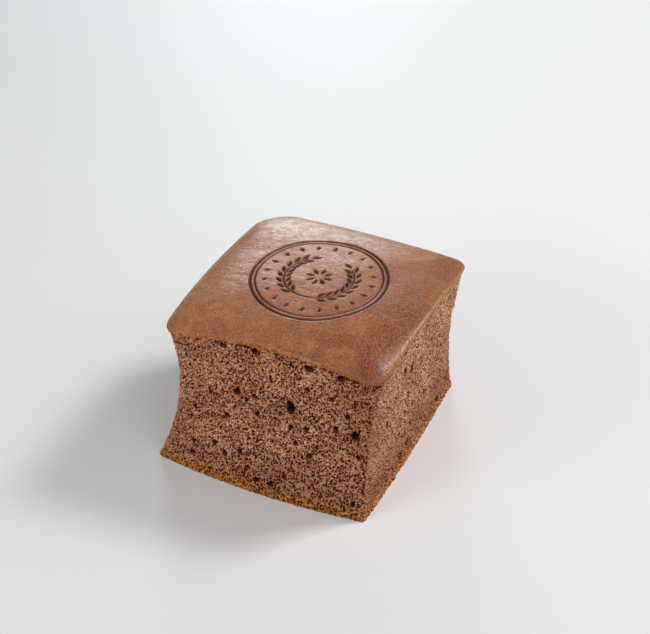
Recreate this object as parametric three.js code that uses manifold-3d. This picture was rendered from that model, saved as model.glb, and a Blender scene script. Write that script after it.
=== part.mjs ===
// Castella sponge cake: one block of airy sponge with a smooth domed skin, an open crumb on its
// four torn sides, a thin crust under it and a burned-in stamp on top. One solid, millimetres,
// +Z up, +X along the front, origin under the middle of the block on its flat underside.
import * as THREE from 'three';
import { mergeVertices } from 'three/addons/utils/BufferGeometryUtils.js';
import Module from 'manifold-3d';

const wasm = await Module();
wasm.setup();

// The four corners, front left first, counterclockwise. foot is the plan corner of the underside,
// brow that of the skin's edge, height how high that edge is, waist how far the side draws in
// between the two. The rounds are shares of half a side.
const CORNERS = [
  { foot: [-72.5, -72], brow: [-63.5, -66.8], height: 92.4, waist: 8.2, footRound: 0.05, browRound: 0.14 },
  { foot: [69, -73], brow: [72, -58.2], height: 88.5, waist: 3, footRound: 0.03, browRound: 0.11 },
  { foot: [63.9, 72.4], brow: [71.8, 69.3], height: 94.9, waist: 3.7, footRound: 0.07, browRound: 0.1 },
  { foot: [-71.4, 72.4], brow: [-67, 74.2], height: 93.6, waist: 5, footRound: 0.08, browRound: 0.3 },
];
const MEAN_HEIGHT = CORNERS.reduce((sum, corner) => sum + corner.height, 0) / CORNERS.length;
// The middles of the four sides, front, right, back and left: how far the foot and the skin's edge
// bow out there, how far the side draws in, how much higher the skin's edge is than at the corners,
// and the rise of the skin's rounded rim.
const SIDES = [
  { footSwell: 4.9, browSwell: -0.7, waist: 6, arch: 7.7, roll: 3 },
  { footSwell: 1.6, browSwell: 4, waist: 5.3, arch: 9.3, roll: 3.5 },
  { footSwell: 5, browSwell: -1, waist: 5.4, arch: 3.6, roll: 5.5 },
  { footSwell: 4.4, browSwell: 4.3, waist: 6, arch: 1.5, roll: 7 },
];
const SKIN_MIDDLE = 97.3; // height of the top's middle before the roll and the crown
const ROLL_AT_MIDDLE = 5.5;
const CROWN_RISE = 3.5; // further rise to the middle of the top
const BOTTOM_CRUST = 3.6; // thickness of the crust under the block
const FOOT_STEP = 0.7; // how far the underside's edge is drawn in, so that the foot is eased
const CRUST_STEP = 0.8; // how far that crust stands out from the crumb
const SKIN_STEP = 1; // how far the skin's rim stands out from the crumb
const SKIN_THICKNESS = 1.7;
const POINTS_A_SIDE = 20;

// Stamp: two rings round a circle of lozenges, two ears of wheat and a rosette.
const STAMP_CENTRE = [3.3, 4.6]; // the middle of the top
const STAMP_DEPTH = 0.9;
const RING_RADIUS = 41; // to the middle of the thick line
const RING_LINE = 1.5;
const RING_GAP = 2.8; // from the middle of the thick line to the middle of the thin one
const RING_THIN_LINE = 0.9;
const RING_SIDES = 48;
const LOZENGE_CIRCLE = 32.5; // radius to the middle of the lozenges
const LOZENGE_COUNT = 20;
const LOZENGE = [4.2, 2.4]; // length, pointing outwards, and width
const WREATH_RADIUS = 21;
const WREATH_FROM = -78; // degrees, the foot of the right-hand ear
const WREATH_TO = 56; // degrees, its tip
const GRAIN_PAIRS = 8;
const GRAIN = [6.4, 2.5]; // length and width of a grain
const GRAIN_SPLAY = 27; // degrees between a grain and its stalk
const GRAIN_OFFSET = 2.6; // from the stalk to the middle of a grain
const STALK_WIDTH = 0.9;
const STALK_STEPS = 16;
const ROSETTE_PETALS = 8;
const ROSETTE_RADIUS = 8.5;
const PETAL = [5.6, 2.4];

// The large holes of the crumb, placed by hand: across the side from -1 to 1, up it from 0 to 1,
// width, height. They are as deep as they are wide.
const FRONT_HOLES = [
  [0.24, 0.61, 5.6, 9.4], [0.87, 0.57, 6.4, 6.4], [0.69, 0.57, 3.6, 4.8], [0.38, 0.935, 6.4, 5.2],
  [0.67, 0.945, 5.4, 4.8], [-0.11, 0.945, 5, 4.4], [-0.43, 0.945, 5, 4.2], [0.21, 0.92, 3.5, 2.6],
  [-0.31, 0.62, 5.4, 4.6], [-0.13, 0.62, 4.2, 3.2], [-0.21, 0.58, 2.8, 3.2], [0.26, 0.48, 3.5, 3.2],
  [0.41, 0.5, 3.5, 3.2], [0.48, 0.59, 2.4, 2.4], [0.33, 0.38, 3, 3.2], [0.53, 0.4, 2.8, 2.6],
  [0.78, 0.69, 3, 3.2], [0.62, 0.77, 3.5, 2.6], [0.39, 0.78, 3, 3.2], [0.47, 0.33, 3.5, 3.2],
  [0.25, 0.15, 3.5, 3.2], [0.89, 0.1, 3.5, 3.8], [0.73, 0.2, 2.4, 2.6], [-0.36, 0.18, 3.8, 4.8],
  [-0.08, 0.5, 3.5, 3.2], [-0.4, 0.44, 3, 3.2], [-0.76, 0.43, 3.5, 3.2], [-0.48, 0.23, 3.5, 3.2],
  [-0.01, 0.08, 3.2, 4], [-0.69, 0.11, 3, 3.2], [0.14, 0.08, 4.2, 3.8], [-0.71, 0.19, 3, 3.2],
];
const RIGHT_HOLES = [
  [0.3, 0.28, 4.4, 3.6], [0.6, 0.08, 5.6, 4.4], [-0.27, 0.085, 6.8, 4.4], [-0.12, 0.105, 6.2, 4.2],
  [-0.34, 0.73, 3.8, 8], [-0.16, 0.66, 3.8, 7.5], [-0.85, 0.47, 3.4, 3], [0.3, 0.95, 5, 3.4],
  [-0.5, 0.95, 4.6, 3.2], [0.62, 0.58, 3.4, 3.6],
];
const SCATTERED_HOLES = [8, 14, 24, 24]; // further holes on the front, right, back and left
const SCATTER_SIZE = [2.3, 3.6]; // smallest and largest width
const SCATTER_SPACING = 7; // smallest distance between two holes
const SEED = 20260;

const radians = THREE.MathUtils.degToRad;

// A repeatable draw of numbers from 0 up to 1.
function makeRandom(seed) {
  const modulus = 2 ** 32;
  let state = seed;
  return () => {
    state = (state * 1664525 + 1013904223) % modulus;
    return state / modulus;
  };
}

// A value given at the four corners, blended over the square from -1 to 1.
function blendCorners(u, v, valueOf) {
  const signs = [[-1, -1], [1, -1], [1, 1], [-1, 1]];
  let sum = 0;
  CORNERS.forEach((corner, i) => {
    sum += (1 + signs[i][0] * u) * (1 + signs[i][1] * v) * valueOf(corner) / 4;
  });
  return sum;
}

// A value given for the four sides, in the direction of u, v.
function blendSides(u, v, valueOf) {
  const weights = [-v, u, v, -u].map((nearness) => Math.max(0, nearness) ** 4);
  const total = Math.max(weights[0] + weights[1] + weights[2] + weights[3], 1e-9);
  let sum = 0;
  SIDES.forEach((side, i) => {
    sum += weights[i] * valueOf(side) / total;
  });
  return sum;
}

// A point of the plan at the level of the foot or the brow, with its sides bowed out.
function planPoint(u, v, level) {
  const swell = level === 'foot' ? 'footSwell' : 'browSwell';
  const [front, right, back, left] = SIDES;
  const bowX = (u > 0 ? right : left)[swell] * u * (1 - v * v);
  const bowY = (v > 0 ? back : front)[swell] * v * (1 - u * u);
  const x = blendCorners(u, v, (corner) => corner[level][0]) + bowX;
  const y = blendCorners(u, v, (corner) => corner[level][1]) + bowY;
  return new THREE.Vector2(x, y);
}

// Round the square once: t from 0 to 4, one unit a side, front, right, back and left.
function onSquare(t) {
  const side = Math.floor(t) % 4;
  const f = (t - Math.floor(t)) * 2 - 1;
  return [[f, -1], [1, f], [-f, 1], [-1, -f]][side];
}

// The same with each corner turned on a quarter circle of its own radius.
function onRoundedSquare(t, radiusOf) {
  const [u, v] = onSquare(t);
  const left = u < 0;
  const front = v < 0;
  const corner = CORNERS[front ? (left ? 0 : 1) : (left ? 3 : 2)];
  const radius = radiusOf(corner);
  const [a, b] = [Math.abs(u), Math.abs(v)];
  const straight = 1 - radius;
  if (Math.min(a, b) <= straight) return [u, v];
  const share = b < a ? (b - straight) / (2 * radius) : 1 - (a - straight) / (2 * radius);
  const angle = share * Math.PI / 2;
  const x = straight + radius * Math.cos(angle);
  const y = straight + radius * Math.sin(angle);
  return [Math.sign(u) * x, Math.sign(v) * y];
}

// Height of the skin's edge in the direction of u, v; highest midway between corners.
function edgeHeight(u, v) {
  const power = 12;
  const size = Math.max((Math.abs(u) ** power + Math.abs(v) ** power) ** (1 / power), 1e-6);
  const cornerness = (u * v) ** 2 / size ** 4;
  const arch = blendSides(u, v, (side) => side.arch);
  return blendCorners(u / size, v / size, (corner) => corner.height) + arch * (1 - cornerness);
}

// A point of the side: t round the block, k from 0 at the foot to 1 at the skin's edge, and out
// for the small steps of crust and skin.
function sidePoint(t, k, out = 0) {
  const [u, v] = onRoundedSquare(t, (c) => c.footRound * (1 - k * k) + c.browRound * k * k);
  const foot = planPoint(u, v, 'foot');
  const brow = planPoint(u, v, 'brow');
  const nearCorner = Math.min(Math.abs(u), Math.abs(v)) ** 2;
  const atCorner = blendCorners(u, v, (corner) => corner.waist);
  const midway = blendSides(u, v, (side) => side.waist);
  const waist = atCorner * nearCorner + midway * (1 - nearCorner);
  const inward = waist * Math.sin(Math.PI * k) ** 0.8 - out;
  const plan = foot.lerp(brow, k);
  return new THREE.Vector3(plan.x - u * inward, plan.y - v * inward, k * edgeHeight(u, v));
}

// Height of the skin: rho from 1 at the rim to 0 in the middle.
function skinHeight(u, v, rho) {
  const rim = edgeHeight(u, v) * rho ** 4 + SKIN_MIDDLE * (1 - rho ** 4);
  const atRim = blendSides(u, v, (side) => side.roll);
  const roll = ROLL_AT_MIDDLE * (1 - rho * rho) + atRim * rho * rho;
  return rim + CROWN_RISE * (1 - rho * rho) + roll * Math.sqrt(Math.max(0, 1 - rho ** 8));
}

// A point of the skin: t round the block, rho from 1 at the rim to 0 in the middle.
function skinPoint(t, rho) {
  const [u, v] = onRoundedSquare(t, (c) => c.browRound);
  const plan = planPoint(u * rho, v * rho, 'brow');
  return new THREE.Vector3(plan.x, plan.y, skinHeight(u, v, rho));
}

// Height of the skin over a point of the plan, away from the rim.
function skinHeightAt(x, y) {
  const halfBlock = 70;
  const rounds = 8;
  let u = x / halfBlock;
  let v = y / halfBlock;
  for (let i = 0; i < rounds; i += 1) {
    const plan = planPoint(u, v, 'brow');
    u += (x - plan.x) / halfBlock;
    v += (y - plan.y) / halfBlock;
  }
  return skinHeight(u, v, (u ** 8 + v ** 8) ** (1 / 8));
}

// Places round the block, closer together towards the corners.
function placesAround() {
  const places = [];
  for (let side = 0; side < 4; side += 1) {
    for (let i = 0; i < POINTS_A_SIDE; i += 1) {
      const even = i / POINTS_A_SIDE * 2 - 1;
      const eased = 0.3 * even + 0.7 * Math.sin(even * Math.PI / 2);
      places.push(side + (eased + 1) / 2);
    }
  }
  return places;
}

// Rings from the underside up the sides and in over the skin.
function blockRings() {
  const places = placesAround();
  const rings = [];
  const addSide = (k, out) => rings.push(places.map((t) => sidePoint(t, k, out)));
  const addSkin = (rho, step) => {
    rings.push(places.filter((_, i) => i % step === 0).map((t) => skinPoint(t, rho)));
  };
  const crust = BOTTOM_CRUST / MEAN_HEIGHT;
  addSide(0, -FOOT_STEP);
  addSide(0.25 * crust, 0);
  addSide(0.9 * crust, 0);
  addSide(1.15 * crust, -CRUST_STEP);
  for (const k of [0.1, 0.22, 0.4, 0.6, 0.78, 0.92]) addSide(k, 0);
  const skin = SKIN_THICKNESS / MEAN_HEIGHT;
  addSide(1 - 1.4 * skin, -SKIN_STEP);
  addSide(1 - skin, 0);
  for (const rho of [1, 0.985, 0.95, 0.89]) addSkin(rho, 1);
  addSkin(0.8, 2);
  addSkin(0.45, 4);
  return rings;
}

// One closed shell from rings, each of as many points as the one below it or of half as many,
// with a point in the middle of each end.
function shellFromRings(rings, bottomPoint, topPoint) {
  const points = rings.flat().concat([bottomPoint, topPoint]);
  const bottom = points.length - 2;
  const top = points.length - 1;
  const index = [];
  let start = 0;
  rings.forEach((ring, r) => {
    const at = (i) => start + i % ring.length;
    if (r === 0) ring.forEach((_, i) => index.push(bottom, at(i + 1), at(i)));
    if (r === rings.length - 1) {
      ring.forEach((_, i) => index.push(top, at(i), at(i + 1)));
      return;
    }
    const above = rings[r + 1];
    const over = (i) => start + ring.length + i % above.length;
    for (let i = 0; i < above.length; i += 1) {
      if (above.length === ring.length) {
        index.push(at(i), at(i + 1), over(i + 1), at(i), over(i + 1), over(i));
      } else {
        const [a, b, c] = [at(2 * i), at(2 * i + 1), at(2 * i + 2)];
        index.push(a, b, over(i), b, over(i + 1), over(i), b, c, over(i + 1));
      }
    }
    start += ring.length;
  });
  const geometry = new THREE.BufferGeometry().setFromPoints(points);
  geometry.setIndex(index);
  return geometry;
}

function toSolid(geometry) {
  const bare = geometry.clone();
  bare.deleteAttribute('normal');
  bare.deleteAttribute('uv');
  const merged = mergeVertices(bare, 1e-4);
  return new wasm.Manifold(new wasm.Mesh({
    numProp: 3,
    vertProperties: Float32Array.from(merged.attributes.position.array),
    triVerts: Uint32Array.from(merged.index.array),
  }));
}

// A hole in the crumb: an uneven low-sided ball, half sunk into the side.
function holeSolid(side, across, up, width, height, random) {
  const t = side + (across + 1) / 2;
  const centre = sidePoint(t, up);
  const along = sidePoint(t + 0.01, up).sub(sidePoint(t - 0.01, up)).normalize();
  const upward = sidePoint(t, up + 0.01).sub(sidePoint(t, up - 0.01)).normalize();
  const outward = new THREE.Vector3().crossVectors(along, upward).normalize();
  const upRight = new THREE.Vector3().crossVectors(outward, along);
  const turn = new THREE.Matrix4().makeRotationZ(random() * Math.PI);
  const place = new THREE.Matrix4().makeBasis(along, upRight, outward).setPosition(centre);
  const ball = new THREE.IcosahedronGeometry(0.5, width > 5 ? 1 : 0);
  ball.applyMatrix4(turn);
  ball.scale(width, height, 1.6 * width);
  ball.applyMatrix4(place);
  return toSolid(ball);
}

// Hand-placed holes first, then others at random clear of them.
function crumbHoles() {
  const random = makeRandom(SEED);
  const solids = [];
  const taken = [];
  const add = (side, across, up, width, height) => {
    solids.push(holeSolid(side, across, up, width, height, random));
    taken.push(sidePoint(side + (across + 1) / 2, up));
  };
  for (const hole of FRONT_HOLES) add(0, ...hole);
  for (const hole of RIGHT_HOLES) add(1, ...hole);
  SCATTERED_HOLES.forEach((wanted, side) => {
    let made = 0;
    while (made < wanted) {
      const across = random() * 1.84 - 0.92;
      const up = 0.08 + random() * 0.84;
      const width = SCATTER_SIZE[0] + random() * random() * (SCATTER_SIZE[1] - SCATTER_SIZE[0]);
      const height = width * (0.85 + random() * 0.5);
      const centre = sidePoint(side + (across + 1) / 2, up);
      const clear = taken.every((other) => other.distanceTo(centre) > SCATTER_SPACING);
      if (clear) {
        add(side, across, up, width, height);
        made += 1;
      }
    }
  });
  return solids;
}

// A groove of the stamp: an outline in the plan, cut down into the curved skin.
function grooveSolid(shape) {
  const clearAbove = 3;
  const geometry = new THREE.ExtrudeGeometry(shape, { depth: 1, steps: 1, bevelEnabled: false });
  const position = geometry.attributes.position;
  for (let i = 0; i < position.count; i += 1) {
    const x = position.getX(i) + STAMP_CENTRE[0];
    const y = position.getY(i) + STAMP_CENTRE[1];
    const offset = position.getZ(i) > 0.5 ? clearAbove : -STAMP_DEPTH;
    position.setXYZ(i, x, y, skinHeightAt(x, y) + offset);
  }
  return toSolid(geometry);
}

function circlePoints(radius) {
  const points = [];
  for (let i = 0; i < RING_SIDES; i += 1) {
    const angle = i / RING_SIDES * 2 * Math.PI;
    points.push(new THREE.Vector2(Math.cos(angle), Math.sin(angle)).multiplyScalar(radius));
  }
  return points;
}

function ringShape(radius, line) {
  const shape = new THREE.Shape(circlePoints(radius + line / 2));
  shape.holes.push(new THREE.Path(circlePoints(radius - line / 2)));
  return shape;
}

// A pointed oval lying at an angle, for grains and petals.
function leafShape(centre, length, width, angle) {
  const outline = [[-0.5, 0], [-0.22, -0.42], [0.18, -0.46], [0.5, 0], [0.18, 0.46], [-0.22, 0.42]];
  const points = outline.map(([along, across]) => (
    new THREE.Vector2(along * length, across * width).rotateAround(new THREE.Vector2(), angle).add(centre)
  ));
  return new THREE.Shape(points);
}

function onWreath(angle, radius, hand) {
  return new THREE.Vector2(hand * Math.cos(angle) * radius, Math.sin(angle) * radius);
}

// One ear of wheat bent to a circle; hand is 1 on the right and -1 on the left.
function earShapes(hand) {
  const shapes = [];
  const from = radians(WREATH_FROM);
  const to = radians(WREATH_TO);
  const facing = (angle) => (hand > 0 ? angle : Math.PI - angle);
  for (let i = 0; i < GRAIN_PAIRS; i += 1) {
    const angle = from + (to - from) * (i + 1.2) / (GRAIN_PAIRS + 1);
    for (const outer of [1, -1]) {
      const splay = -outer * radians(GRAIN_SPLAY);
      const centre = onWreath(angle, WREATH_RADIUS + outer * GRAIN_OFFSET, hand);
      shapes.push(leafShape(centre, GRAIN[0], GRAIN[1], facing(angle + Math.PI / 2 + splay)));
    }
  }
  const tip = to + 0.06;
  shapes.push(leafShape(onWreath(tip, WREATH_RADIUS, hand), GRAIN[0], GRAIN[1], facing(tip + Math.PI / 2)));
  // The stalk starts a little below the lowest grains and ends under the top ones.
  const stalkFrom = from - 0.12 * (to - from);
  const stalkTo = from + 0.92 * (to - from);
  const edge = (radius, i) => onWreath(stalkFrom + (stalkTo - stalkFrom) * i / STALK_STEPS, radius, hand);
  const stalk = [];
  for (let i = 0; i <= STALK_STEPS; i += 1) stalk.push(edge(WREATH_RADIUS + STALK_WIDTH / 2, i));
  for (let i = STALK_STEPS; i >= 0; i -= 1) stalk.push(edge(WREATH_RADIUS - STALK_WIDTH / 2, i));
  shapes.push(new THREE.Shape(stalk));
  return shapes;
}

function rosetteShapes() {
  const shapes = [];
  for (let i = 0; i < ROSETTE_PETALS; i += 1) {
    const angle = i / ROSETTE_PETALS * 2 * Math.PI;
    const centre = onWreath(angle, ROSETTE_RADIUS - PETAL[0] / 2, 1);
    shapes.push(leafShape(centre, PETAL[0], PETAL[1], angle));
  }
  return shapes;
}

function lozengeShapes() {
  const shapes = [];
  for (let i = 0; i < LOZENGE_COUNT; i += 1) {
    const angle = (i + 0.5) / LOZENGE_COUNT * 2 * Math.PI;
    const centre = onWreath(angle, LOZENGE_CIRCLE, 1);
    const corners = [[-0.5, 0], [0, -0.5], [0.5, 0], [0, 0.5]];
    const points = corners.map(([along, across]) => (
      new THREE.Vector2(along * LOZENGE[0], across * LOZENGE[1])
        .rotateAround(new THREE.Vector2(), angle).add(centre)
    ));
    shapes.push(new THREE.Shape(points));
  }
  return shapes;
}

function stampGrooves() {
  const shapes = [
    ringShape(RING_RADIUS, RING_LINE),
    ringShape(RING_RADIUS - RING_GAP, RING_THIN_LINE),
    ...lozengeShapes(),
    ...earShapes(1),
    ...earShapes(-1),
    ...rosetteShapes(),
  ];
  return shapes.map(grooveSolid);
}

function spongeCake() {
  const underside = new THREE.Vector3(0, 0, 0);
  const middle = planPoint(0, 0, 'brow');
  const crown = new THREE.Vector3(middle.x, middle.y, skinHeight(0, 0, 0));
  let block = toSolid(shellFromRings(blockRings(), underside, crown));
  for (const cut of [...crumbHoles(), ...stampGrooves()]) block = block.subtract(cut);
  const cut = block.getMesh();
  const geometry = new THREE.BufferGeometry();
  geometry.setAttribute('position', new THREE.BufferAttribute(cut.vertProperties, 3));
  geometry.setIndex(new THREE.BufferAttribute(cut.triVerts, 1));
  geometry.computeVertexNormals();
  const crumb = new THREE.MeshStandardMaterial({ color: 0x8a6152, roughness: 0.9, metalness: 0 });
  const mesh = new THREE.Mesh(geometry, crumb);
  mesh.name = 'sponge_cake';
  return mesh;
}

const cake = new THREE.Group();
cake.add(spongeCake());

export default cake;
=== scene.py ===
"""Castella sponge cake: a leaning, pinched block of airy sponge with a satin skin, a burned-in stamp,
four torn sides of open crumb and a dry golden crust underneath."""

import math

import bpy
import numpy as np
from mathutils import Matrix, Vector


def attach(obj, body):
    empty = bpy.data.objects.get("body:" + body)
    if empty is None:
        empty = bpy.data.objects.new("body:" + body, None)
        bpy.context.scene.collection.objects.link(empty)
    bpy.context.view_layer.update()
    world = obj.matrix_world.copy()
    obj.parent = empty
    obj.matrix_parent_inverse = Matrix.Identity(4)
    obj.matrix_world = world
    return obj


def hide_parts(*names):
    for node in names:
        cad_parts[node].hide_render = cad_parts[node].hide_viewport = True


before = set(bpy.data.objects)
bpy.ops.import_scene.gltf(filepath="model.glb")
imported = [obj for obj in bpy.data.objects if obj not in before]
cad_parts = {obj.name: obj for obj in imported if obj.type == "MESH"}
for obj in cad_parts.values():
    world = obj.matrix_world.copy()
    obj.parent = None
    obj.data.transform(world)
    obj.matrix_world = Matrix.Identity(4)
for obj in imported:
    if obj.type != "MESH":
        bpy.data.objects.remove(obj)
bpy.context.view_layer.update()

MM = 0.001
TINY = 1e-9  # keeps divisions away from zero, and allows for rounding
UP = (0, 0, 1)

# Form, in millimetres, as in the solid: the four corners, front left first, counterclockwise.
FOOT = np.array([[-72.5, -72.0], [69.0, -73.0], [63.9, 72.4], [-71.4, 72.4]])
BROW = np.array([[-63.5, -66.8], [72.0, -58.2], [71.8, 69.3], [-67.0, 74.2]])
CORNER_HEIGHT = np.array([92.4, 88.5, 94.9, 93.6])
CORNER_WAIST = np.array([8.2, 3.0, 3.7, 5.0])
# How rounded the corners are, as a share of half the block.
FOOT_ROUND = np.array([0.05, 0.03, 0.07, 0.08])
BROW_ROUND = np.array([0.14, 0.11, 0.1, 0.3])
CORNER_SIGNS = np.array([[-1, -1], [1, -1], [1, 1], [-1, 1]])
MEAN_HEIGHT = CORNER_HEIGHT.mean()
# The middles of the four sides, front, right, back and left.
FOOT_SWELL = (4.9, 1.6, 5.0, 4.4)
BROW_SWELL = (-0.7, 4.0, -1.0, 4.3)
SIDE_WAIST = (6.0, 5.3, 5.4, 6.0)
EDGE_ARCH = (7.7, 9.3, 3.6, 1.5)
ROLL_RISE = (3.0, 3.5, 5.5, 7.0)
ROLL_AT_MIDDLE = 5.5
SKIN_MIDDLE = 97.3
CROWN_RISE = 3.5
BOTTOM_CRUST = 3.6
SKIN_THICKNESS = 1.7
HALF_BLOCK = 70.0  # about half the width of the top
WAIST_FULLNESS = 0.8  # below 1, so that the waist reaches close to the foot and the brow
SQUARENESS = 12  # how squarely a direction is measured out

# Stamp, in millimetres: two rings round a circle of lozenges, two ears of wheat and a rosette.
STAMP_CENTRE = (3.3, 4.6)
STAMP_DEPTH = 0.9
RING_RADIUS = 41.0
RING_LINE = 1.5
RING_GAP = 2.8
RING_THIN_LINE = 0.9
LOZENGE_CIRCLE = 32.5
LOZENGE_COUNT = 20
LOZENGE = (4.2, 2.4)
WREATH_RADIUS = 21.0
WREATH_FROM = math.radians(-78)
WREATH_TO = math.radians(56)
GRAIN_PAIRS = 8
FIRST_GRAIN = 1.2  # where the first pair sits, in steps between pairs
GRAIN = (6.4, 2.5)
GRAIN_SPLAY = math.radians(27)
GRAIN_OFFSET = 2.6
TIP_TURN = 0.06  # how far past the wreath's end the last grain sits, in radians
STALK_WIDTH = 0.9
STALK_FROM, STALK_TO = -0.12, 0.92  # ends of the stalk, as shares of the wreath
ROSETTE_PETALS = 8
ROSETTE_RADIUS = 8.5
PETAL = (5.6, 2.4)
LEAF_FULLNESS = 0.47  # of a grain or petal; at 0.5 it has its full width in the middle
STAMP_MARGIN = 2.0  # how far past the ring the skin's points stay close together
BURN_SPILL = 0.2  # how far a stamped groove starts outside its line
BURN_SLOPE = 0.5  # width of a groove's slope
SCORCH_REACH = 0.9  # how far the scorched colour reaches out from a line

# Spots where the skin is thin and golden: x, y and radius.
THIN_SPOTS = ((14.0, -53.0, 8.0), (25.0, -52.5, 8.5))
# Below its rim the skin goes on as its cut edge and its hidden underside: how far down, as a share
# of its thickness, how far out, in millimetres, and how ragged.
SKIN_EDGE = (
    (0.25, 0.15, 1), (0.5, 0.2, 1), (0.75, 0.15, 1), (1.0, -0.1, 1),
    (1.15, -0.8, 1), (1.0, -2.5, 0), (0.9, -7.0, 0),
)

# Large holes of the crumb: across the side from -1 to 1, up it from 0 to 1, width, height.
FRONT_HOLES = (
    (0.24, 0.61, 5.6, 9.4), (0.87, 0.57, 6.4, 6.4), (0.69, 0.57, 3.6, 4.8), (0.38, 0.935, 6.4, 5.2),
    (0.67, 0.945, 5.4, 4.8), (-0.11, 0.945, 5, 4.4), (-0.43, 0.945, 5, 4.2), (0.21, 0.92, 3.5, 2.6),
    (-0.31, 0.62, 5.4, 4.6), (-0.13, 0.62, 4.2, 3.2), (-0.21, 0.58, 2.8, 3.2), (0.26, 0.48, 3.5, 3.2),
    (0.41, 0.5, 3.5, 3.2), (0.48, 0.59, 2.4, 2.4), (0.33, 0.38, 3, 3.2), (0.53, 0.4, 2.8, 2.6),
    (0.78, 0.69, 3, 3.2), (0.62, 0.77, 3.5, 2.6), (0.39, 0.78, 3, 3.2), (0.47, 0.33, 3.5, 3.2),
    (0.25, 0.15, 3.5, 3.2), (0.89, 0.1, 3.5, 3.8), (0.73, 0.2, 2.4, 2.6), (-0.36, 0.18, 3.8, 4.8),
    (-0.08, 0.5, 3.5, 3.2), (-0.4, 0.44, 3, 3.2), (-0.76, 0.43, 3.5, 3.2), (-0.48, 0.23, 3.5, 3.2),
    (-0.01, 0.08, 3.2, 4), (-0.69, 0.11, 3, 3.2), (0.14, 0.08, 4.2, 3.8), (-0.71, 0.19, 3, 3.2),
)
RIGHT_HOLES = (
    (0.3, 0.28, 4.4, 3.6), (0.6, 0.08, 5.6, 4.4), (-0.27, 0.085, 6.8, 4.4), (-0.12, 0.105, 6.2, 4.2),
    (-0.34, 0.73, 5.4, 8), (-0.16, 0.66, 4.8, 7.5), (-0.85, 0.47, 3.4, 3), (0.3, 0.95, 5, 3.4),
    (-0.5, 0.95, 4.6, 3.2), (0.62, 0.58, 3.4, 3.6),
)
# Further holes at random, on the front, right, back and left.
SCATTERED_HOLES = (8, 14, 24, 24)
SCATTER_SIZE = (2.3, 3.6)
SCATTER_SPACING = 7.0
SCATTER_REACH = 0.92  # how far from the middle of a side, as a share of half its width
SCATTER_LOW = 0.08
SCATTER_RISE = 0.84
SEED = 20260

SIDE_NAMES = ("front", "right", "back", "left")
CRUMB_STEP = 0.375  # distance between the points of a torn side
CRUMB_HIGH = 0.985  # where the crumb ends, as a share of the height
BEHIND = 0.84  # size of a side's hidden back, compared with the block
FOOT_EASE = 5.0  # height up to which the crumb is pushed out level, clear of the floor
FAR_BELOW = 50.0  # depth below the skin given to the points inside the block
# Relief of the torn sides, in metres; the depth of a large hole is a share of half its width.
CRUMB_RELIEF = {
    "Pore Bend": 0.0007,
    "Wide Pore Spacing": 0.00156,
    "Wide Pore Depth": 0.0016,
    "Fine Pore Spacing": 0.00105,
    "Fine Pore Depth": 0.0005,
    "Stray Hole Spacing": 0.0045,
    "Stray Hole Depth": 0.0022,
    "Wave Height": 0.0014,
    "Lump Height": 0.0024,
    "Hole Depth": 1.6,
    "Hole Raggedness": 0.0034,
    "Gap Depth": 0.0034,
}
# Kinds of pores: smallest radius, largest radius and width of the slope, as shares of the spacing,
# and how scattered they are. A radius below 0 leaves a pore out.
PORES = (
    ("Wide Pore", 0.43, 0.59, 0.2, 0.76),
    ("Fine Pore", 0.3, 0.55, 0.25, 1.0),
    ("Stray Hole", -0.1, 0.28, 0.09, 1.0),
)
STAMP_STEP = 0.4  # distance between the skin's points on the stamp
SKIN_COARSE_STEP = 1.3  # outside it
SKIN_RIM_STEP = 0.35  # and along the rim
SKIN_RIM_BAND = 3.5
# How golden the cut edge of the skin is: front, right, back and left.
CUT_GOLD = (1.0, 0.74, 0.9, 0.9)
# How far left the painted shadow in a large hole lies on each side, as a share of half its width.
CORE_SHIFT = (0.36, -0.42, 0.36, 0.36)
# How much paler and greyer each side is painted, as painted light standing in for brighter, cooler
# light, most of all on the right.
PAINTED_LIGHT_PALENESS = (0.0, 1.0, 0.6, 0.2)

# Marks along the corners: along a side in sides, up it in shares of its height, and below the
# skin's edge in millimetres.
# How browned the corner lines are, front left first, and how far past the corner they lie.
CORNER_BROWNING = (0.12, 1.0, 0.5, 0.3)
CORNER_LINE_SHIFT = 0.014
CORNER_LINE_WIDTH = 0.012
CORNER_LINE_SPAN = (0.03, 0.78)
# The crevice that wanders up beside the front right corner.
CREVICE_STRENGTH = 0.7
CREVICE_PLACE = 0.988
CREVICE_WANDER = 0.006
CREVICE_BENDS = 30
CREVICE_WIDTH = 0.01
CREVICE_SPAN = (0.15, 0.43)
# The skin that wraps down the front left corner, and the crack under it along the front.
WRAP_REACH = 0.04
WRAP_ON_FRONT = 0.35  # how much a distance along the front counts, beside 1 on the left
WRAP_DROP = 8.0
WRAP_CALM = 0.4  # how much of the relief it takes away
CRACK_END = 0.13
CRACK_DROP = 8.4
CRACK_WANDER = 0.4
CRACK_BENDS = 90
CRACK_WIDTH = 0.45

# Bottom crust: points round it, rings of points across it, and how far inside the foot it lies.
CRUST_AROUND = 360
CRUST_RINGS = 90
CRUST_INSET = 0.35
# Its hidden rings above the rim, as a share of the rim and a height.
CRUST_HIDDEN = ((0.94, 2.5), (0.98, 0.4))


# ---- form of the block

def smooth(x):
    """A smooth rise from 0 to 1 as x goes from 0 to 1."""
    x = np.clip(x, 0, 1)
    return x * x * (3 - 2 * x)


def band(x, span, rise, fall):
    """1 inside the span, fading to 0 at its ends over rise and fall."""
    return smooth((x - span[0]) / rise) * smooth((span[1] - x) / fall)


def soft_line(x, middle, width):
    """1 on the middle, fading out over about the width."""
    return np.exp(-((x - middle) / width) ** 2)


def unit(vectors):
    return vectors / np.maximum(np.linalg.norm(vectors, axis=-1, keepdims=True), TINY)


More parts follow.
